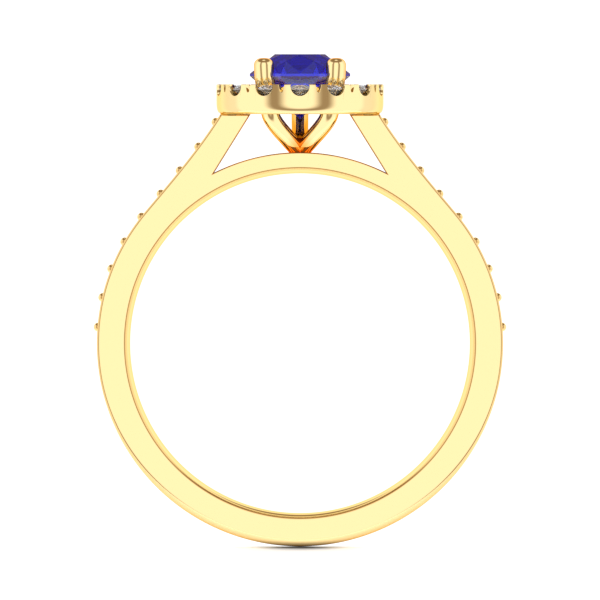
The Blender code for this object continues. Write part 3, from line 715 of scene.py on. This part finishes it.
def wireMesh(path, widths, roll=0.0, sides=22):
    # a round wire along a path, thickened by its widths, with closed ends
    curve = bpy.data.curves.new("wire", "CURVE")
    curve.dimensions = "3D"
    curve.bevel_depth = 0.5 * mm
    curve.bevel_resolution = sides
    curve.use_fill_caps = True
    spline = curve.splines.new("POLY")
    spline.points.add(len(path) - 1)
    for point, place, width in zip(spline.points, path, widths):
        point.co = (place[0] * mm, place[1] * mm, place[2] * mm, 1)
        point.radius = width
        point.tilt = roll
    wire = newObject("wire", curve)
    mesh = bakeObject(wire, "wire")
    dropObject(wire)
    return mesh


def clawProfile(lowerSteps=22, upperSteps=14, domeSteps=12):
    # a claw's centre line as (radius, height) and its width at each point, foot to tip
    foot = (basket["footAt"][0], bridgeTop + basket["footAt"][1])
    knee = (clawCircle - basket["lean"], underside)
    girdle = (clawCircle, girdleLevel)
    footPull, kneeBack = basket["footPull"], basket["kneeBack"]
    kneePull, girdleBack = basket["kneePull"], basket["girdleBack"]
    lower = bezierPoints(foot, (foot[0] + footPull[0], foot[1] + footPull[1]),
                         (knee[0] - kneeBack[0], knee[1] - kneeBack[1]), knee, lowerSteps)
    upper = bezierPoints(knee, (knee[0] + kneePull[0], knee[1] + kneePull[1]),
                         (girdle[0] - girdleBack[0], girdle[1] - girdleBack[1]), girdle, upperSteps)
    swell, taper = basket["knee"] - basket["foot"], basket["tip"] - basket["knee"]
    widths = [basket["foot"] + swell * i / lowerSteps for i in range(lowerSteps + 1)]
    widths += [basket["knee"] + taper * i / upperSteps for i in range(1, upperSteps + 1)]
    line = lower + upper[1:]
    domeStart = girdleLevel + basket["proud"] - basket["dome"]
    turn = radians(basket["domeTurn"])
    for i in range(domeSteps + 1):
        angle = turn * i / domeSteps
        line.append((clawCircle + basket["splay"], domeStart + basket["dome"] * sin(angle) / sin(turn)))
        widths.append(basket["tip"] * cos(angle) ** basket["domeFullness"])
    return line, widths


def roundZ(line, angle):
    return [(r * cos(angle), r * sin(angle), z) for r, z in line]


def clawMeshes(grow=0.0, roll=1.7):
    # the four claws; each is rolled a little more than the last, so that no facets lie in one plane
    line, widths = clawProfile()
    widths = [width + 2 * grow for width in widths]
    return [wireMesh(roundZ(line, pi / 4 + k * pi / 2), widths, roll=radians(roll) * k) for k in range(4)]


def uprightMesh(steps=24, roll=0.9):
    # the upright at the back, from the core to the collar
    out, up = basket["uprightFoot"]
    foot, pull = (out, bridgeTop + up), basket["uprightPull"]
    top = (collarRadius - basket["uprightInset"], underside + 0.05)
    line = bezierPoints(foot, (foot[0] + pull[0], foot[1] + pull[1]),
                        (top[0], top[1] - basket["uprightBack"]), top, steps)
    return wireMesh(roundZ(line, pi / 2), [basket["upright"]] * len(line), roll=radians(roll))


coreTop, coreFoot = bridgeTop + basket["coreHeight"], bridgeTop - basket["sink"]
basketMesh = turnedMesh("basket", [(0, coreTop), (basket["coreTop"], coreTop), (basket["core"], coreFoot),
                                   (0, coreFoot)], 60)
for wire in clawMeshes() + [uprightMesh()]:
    basketMesh = cutOrJoin(basketMesh, wire, "UNION")
bridgeSkin = bridgeTop - 0.01           # soldered down on the bridge
bridgeSpace = turnedMesh("bridgeSpace", [(0, band["width"]), (bridgeSkin, band["width"]),
                                         (bridgeSkin, -band["width"]), (0, -band["width"])],
                         band["turnSteps"])
bridgeSpace.transform(Matrix.Rotation(pi / 2, 4, "X"))
basketMesh = cutOrJoin(basketMesh, bridgeSpace, "DIFFERENCE")
finished("basketPiece", smoothed(basketMesh, 32), goldWithPaintedCrease, "gold", "head")


# the collar that carries the halo
collar = dict(
    count=14, innerWall=0.115, bedDrop=0.12, rimWidth=0.36, rimRound=0.05,
    belly=0.60, bellyPull=0.12, bellyIn=0.10, foot=0.34,     # the turned curve under the rim
    drill=0.50, windowWidth=0.92, windowDepth=0.58,
    splitWidth=0.30, splitDepth=0.40, splitFoot=0.07, splitTurn=0.3, splitReach=0.46,
    grain=0.34, grainInset=0.23, start=0.1,                  # cutters start this far outside the rim
    lip=0.016, lipAngle=38, weld=0.006,
)
collarInner = stoneCircle - haloStone["diameter"] / 2 - collar["innerWall"]
haloGirdle = rim - haloStone["tableDrop"] - stoneHeights(haloStone)[0]


def drawnPrism(name, outline, length):
    # (y, z) points drawn out along -X
    work = bmesh.new()
    face = work.faces.new([work.verts.new((0, y * mm, z * mm)) for y, z in outline])
    drawn = bmesh.ops.extrude_face_region(work, geom=[face])
    moved = [item for item in drawn["geom"] if isinstance(item, bmesh.types.BMVert)]
    bmesh.ops.translate(work, verts=moved, vec=(-length * mm, 0, 0))
    bmesh.ops.recalc_face_normals(work, faces=work.faces)
    mesh = bpy.data.meshes.new(name)
    work.to_mesh(mesh)
    work.free()
    return mesh


def roundCollar(name, mesh, radius, height, between=False):
    # a mesh repeated at each halo stone, or between the stones
    shape = newObject("shape", mesh, hidden=True)
    step = 2 * pi / collar["count"]
    result = repeated(name, repeatRound, roundSockets, {
        "Shape": shape, "Count": collar["count"], "Radius": radius * mm, "Height": height * mm,
        "First Angle": -pi / 2 + (step / 2 if between else 0), "Material": None})
    dropObject(shape)
    return result


def weldClose(mesh, distance):
    # merges the slivers that cuts leave, so that the lips can be eased evenly
    work = bmesh.new()
    work.from_mesh(mesh)
    bmesh.ops.remove_doubles(work, verts=work.verts, dist=distance * mm)
    bmesh.ops.dissolve_degenerate(work, dist=distance / 2 * mm, edges=work.edges)
    work.to_mesh(mesh)
    work.free()


def collarBlank():
    # the plain turned ring: bed, raised rim and belly
    bed, rimInner, edge = rim - collar["bedDrop"], collarRadius - collar["rimWidth"], collar["rimRound"]
    profile = [(collarInner, bed - edge), (collarInner + edge, bed), (rimInner - collar["bedDrop"], bed),
               (rimInner, rim)]
    profile += arcPoints((collarRadius - edge, rim - edge), edge, pi / 2, 0, 4)
    profile += bezierPoints((collarRadius, underside + collar["belly"]),
                            (collarRadius, underside + collar["bellyPull"]),
                            (collarRadius - collar["bellyIn"], underside),
                            (collarRadius - collar["foot"], underside), 24)
    profile += [(collarInner, underside)]
    return turnedMesh("collar", profile, 20 * collar["count"])


def windowOutline():
    # a round-bottomed window in front of each halo stone, open at the top
    half, past = collar["windowWidth"] / 2, setting["past"]
    return [(half, past), (-half, past)] + arcPoints((0, half - collar["windowDepth"]), half, pi, 2 * pi, 20)


def splitOutline():
    # a drop-shaped split between two stones, which leaves a prong on each side
    half, past = collar["splitWidth"] / 2, setting["past"]
    foot, turn = collar["splitFoot"], collar["splitTurn"]
    drop = arcPoints((0, foot - collar["splitDepth"]), foot, pi + turn, 2 * pi - turn, 8)
    return [(half, past), (-half, past), (-half, 0)] + drop + [(half, 0)]


def easedLips(mesh):
    # takes the sharpness off the cut edges
    weldClose(mesh, collar["weld"])
    blank = newObject("collarBlank", mesh)
    ease = blank.modifiers.new("ease", "BEVEL")
    ease.limit_method, ease.angle_limit = "ANGLE", radians(collar["lipAngle"])
    ease.width, ease.segments = collar["lip"] * mm, 2
    ease.use_clamp_overlap = False
    eased = bakeObject(blank, "collar")
    dropObject(blank)
    return eased


past, cutFrom = setting["past"], collarRadius + collar["start"]
innerGrains = roundCollar("innerGrains", beadMesh(collar["grain"]), collarInner + collar["grainInset"],
                          rim - collar["rimRound"] - collar["grain"] / 2, between=True)
wells = roundCollar("wells", seatMesh(haloStone, rim - haloGirdle + past,
                                      drill=(collar["drill"], haloGirdle - underside + past)),
                    stoneCircle, haloGirdle)
windowLength = collar["windowDepth"] + haloStone["diameter"] / 2
windows = roundCollar("windows", drawnPrism("window", windowOutline(), windowLength), cutFrom, rim)
splits = roundCollar("splits", drawnPrism("split", splitOutline(), collar["splitReach"] + past), cutFrom, rim,
                     between=True)
collarMesh = cutOrJoin(collarBlank(), innerGrains, "UNION")
for cutter in (wells, windows, splits):
    collarMesh = cutOrJoin(collarMesh, cutter, "DIFFERENCE")
collarMesh = easedLips(collarMesh)
finished("collarPiece", smoothed(collarMesh, 32, flatAxis=2, roundRadius=collarRadius), gold, "gold",
         "halo_frame")


# the stones in their settings
centre = brilliantMesh("centreStone", centreStone)
centre.transform(Matrix.Translation((0, 0, girdleLevel * mm)))
for claw in clawMeshes(grow=setting["clearance"] / 2):
    centre = cutOrJoin(centre, claw, "DIFFERENCE")
finished("centreStonePiece", centre, sapphire, "blue_stone", "centre_stone")
haloStones = roundCollar("haloStones", brilliantMesh("haloStone", haloStone), stoneCircle, haloGirdle)
finished("haloStonesPiece", haloStones, diamond, "clear_stone",
         *[f"halo_stone_{k:02d}" for k in range(1, collar["count"] + 1)])
shoulderStones = alongShoulders("shoulderStones", brilliantMesh("shoulderStone", shoulderStone),
                                pave["stones"], 1, firstStone, 0, stoneSink)
finished("shoulderStonesPiece", shoulderStones, diamond, "clear_stone",
         *[f"shoulder_stone_{side}_{k}" for side in ("left", "right") for k in range(1, pave["stones"] + 1)])


# the studio: an even white room with soft dark gaps between its panels, which give the metal its lines
# each gap is (depth, what sees it, ramps), and a ramp is (angle, degrees where it starts, where it is full)
frontGap = (0.90, "allButDiamonds", (("around", 16, 33), ("around", 54, 38), ("elevation", 70, 55)))
sideGap = (0.20, "everything", (("azimuth", 92, 104), ("azimuth", 140, 120)))
topGap = (0.97, "allButDiamonds", (("elevation", 36, 52), ("elevation", 84, 74)))
rearGap = (0.90, "allButDiamonds", (("elevation", 36, 46), ("elevation", 84, 74), ("azimuth", 112, 140)))
dimEnd = (1.00, "sapphireEdges", (("azimuth", 100, 135),))
studio = dict(level=1.2, gapColour="87725e", gaps=(frontGap, sideGap, topGap, rearGap, dimEnd))


def studioWorld():
    world = bpy.data.worlds.new("studio")
    bpy.context.scene.world = world
    world.use_nodes = True
    tree = world.node_tree
    tree.nodes.clear()
    way = addNode(tree, "ShaderNodeTexCoord").outputs["Generated"]
    x, y, z = addNode(tree, "ShaderNodeSeparateXYZ", {0: way}).outputs
    path = addNode(tree, "ShaderNodeLightPath").outputs
    parts = {"x": x, "y": y, "z": z, "everything": 1.0, "clean": path["Is Singular Ray"],
             "mirrored": path["Is Reflection Ray"], "through": path["Is Transmission Ray"],
             "seen": path["Is Camera Ray"], "scattered": path["Is Diffuse Ray"]}
    sums = [
        ("front", "MULTIPLY", "y", -1.0), ("turn", "ARCTAN2", "x", "front"), ("turned", "DEGREES", "turn"),
        ("azimuth", "ABSOLUTE", "turned"), ("lift", "ARCSINE", "z"), ("elevation", "DEGREES", "lift"),
        ("swing", "ARCCOSINE", "front"), ("offAxis", "DEGREES", "swing"),
        # round the camera's axis below the horizon, and upright above it
        ("below", "LESS_THAN", "z", 0.0), ("above", "SUBTRACT", 1.0, "below"),
        ("low", "MULTIPLY", "below", "offAxis"), ("around", "MULTIPLY_ADD", "above", "azimuth", "low"),
        # the sapphire alone bends and mirrors light with no blur; light blurred on its way through a stone
        # is a diamond's, and sees a white ceiling
        ("blurred", "SUBTRACT", 1.0, "clean"), ("diamonds", "MULTIPLY", "through", "blurred"),
        ("allButDiamonds", "SUBTRACT", 1.0, "diamonds"), ("sapphireEdges", "MULTIPLY", "clean", "mirrored"),
        ("even", "MAXIMUM", "seen", "scattered"),
    ]
    for name, operation, *values in sums:
        inputs = dict(enumerate(parts.get(value, value) for value in values))
        parts[name] = addNode(tree, "ShaderNodeMath", inputs, operation=operation).outputs[0]
    shade = 1.0
    for depth, seenBy, ramps in studio["gaps"]:
        dark = parts[seenBy]
        for angle, start, full in ramps:
            ramp = addNode(tree, "ShaderNodeMapRange", {"Value": parts[angle], "From Min": start,
                                                        "From Max": full}, interpolation_type="SMOOTHSTEP")
            dark = addNode(tree, "ShaderNodeMath", {0: dark, 1: ramp.outputs[0]},
                           operation="MULTIPLY").outputs[0]
        light = addNode(tree, "ShaderNodeMath", {0: dark, 1: -depth, 2: 1.0}, operation="MULTIPLY_ADD")
        shade = addNode(tree, "ShaderNodeMath", {0: shade, 1: light.outputs[0]},
                        operation="MULTIPLY").outputs[0]
    # what the camera and matt surfaces see stays even
    white = addNode(tree, "ShaderNodeMath", {0: shade, 1: parts["even"]}, operation="MAXIMUM")
    wall = addNode(tree, "ShaderNodeMix", {0: white.outputs[0], 6: linearColour(studio["gapColour"]),
                                           7: (1, 1, 1, 1)}, data_type="RGBA")
    background = addNode(tree, "ShaderNodeBackground", {"Color": wall.outputs[2],
                                                        "Strength": studio["level"]})
    addNode(tree, "ShaderNodeOutputWorld", {"Surface": background.outputs[0]})


sheet = dict(
    colour="f4f4f4", glow=0.3, gloss=0.12, grain=0.4, roughness=(0.26, 0.34),
    slope=14.0, ease=0.5, reach=12.0, width=40.0,      # degrees, then mm
    # the painted contact shadow: its reach along and across in mm, its fully dark core, and how dark it gets
    contact=(3.1, 1.5), contactCore=0.15, contactShade=0.98,
)


def studioFloor():
    # a pale sheet lying under the ring and sloping gently away in front and behind
    wide, near = sheet["width"], [0.45, 0.9, 1.4, 2, 3, 6, sheet["reach"]]
    rows = [-y for y in reversed(near)] + [0] + near
    slope, ease, foot = tan(radians(sheet["slope"])), sheet["ease"], cadBox[0][2] / mm
    work = bmesh.new()
    lines = []
    for y in rows:
        height = foot - slope * (sqrt(y * y + ease * ease) - ease)
        lines.append([work.verts.new((x * mm, y * mm, height * mm)) for x in (-wide, wide)])
    for one, two in zip(lines, lines[1:]):
        work.faces.new((one[0], one[1], two[1], two[0]))
    mesh = bpy.data.meshes.new("floor")
    work.to_mesh(mesh)
    work.free()
    mesh.polygons.foreach_set("use_smooth", [True] * len(mesh.polygons))
    material, tree, shader = newMaterial("matt_white_acrylic")
    place = addNode(tree, "ShaderNodeTexCoord").outputs["Object"]
    grain = addNode(tree, "ShaderNodeTexNoise", {"Vector": place, "Scale": 1 / (sheet["grain"] * mm),
                                                 "Detail": 2.0})
    rough = addNode(tree, "ShaderNodeMapRange", {"Value": grain.outputs["Fac"],
                                                 "To Min": sheet["roughness"][0],
                                                 "To Max": sheet["roughness"][1]})
    tree.links.new(rough.outputs[0], shader.inputs["Roughness"])
    # a painted contact shadow: the sheet's colour and its even white glow fade to black where the ring stands
    # on it
    along, across = sheet["contact"]
    paintedShadowSpot = addNode(tree, "ShaderNodeVectorMath", {0: place, 1: (1 / (along * mm), 1 / (across * mm), 0)},
                   operation="MULTIPLY")
    away = addNode(tree, "ShaderNodeVectorMath", {0: paintedShadowSpot.outputs[0]}, operation="LENGTH")
    clearOfPaintedShadow = addNode(tree, "ShaderNodeMapRange", {"Value": away.outputs["Value"],
                                               "From Min": sheet["contactCore"], "From Max": 1.0,
                                               "To Min": 1 - sheet["contactShade"], "To Max": 1.0},
                  interpolation_type="SMOOTHSTEP")
    shade = addNode(tree, "ShaderNodeMix", {0: clearOfPaintedShadow.outputs[0], 6: (0, 0, 0, 1),
                                            7: linearColour(sheet["colour"])}, data_type="RGBA")
    glow = addNode(tree, "ShaderNodeMath", {0: clearOfPaintedShadow.outputs[0], 1: sheet["glow"]}, operation="MULTIPLY")
    tree.links.new(shade.outputs[2], shader.inputs["Base Color"])
    tree.links.new(glow.outputs[0], shader.inputs["Emission Strength"])
    shader.inputs["Emission Color"].default_value = (1, 1, 1, 1)
    shader.inputs["Specular IOR Level"].default_value = sheet["gloss"]
    mesh.materials.append(material)
    newObject("floor", mesh)


framing = dict(width=29.88, height=2.151, away=200, near=1, far=1000)      # mm


def studioCamera():
    # level and square to the finger hole, with no perspective
    camera = bpy.data.cameras.new("camera")
    camera.type, camera.ortho_scale = "ORTHO", framing["width"] * mm
    camera.clip_start, camera.clip_end = framing["near"] * mm, framing["far"] * mm
    view = newObject("camera", camera)
    view.location = (0, -framing["away"] * mm, framing["height"] * mm)
    view.rotation_euler = (pi / 2, 0, 0)
    bpy.context.scene.camera = view


studioWorld()
studioFloor()
studioCamera()
bpy.context.scene.view_settings.view_transform = "Standard"
print("studio set")
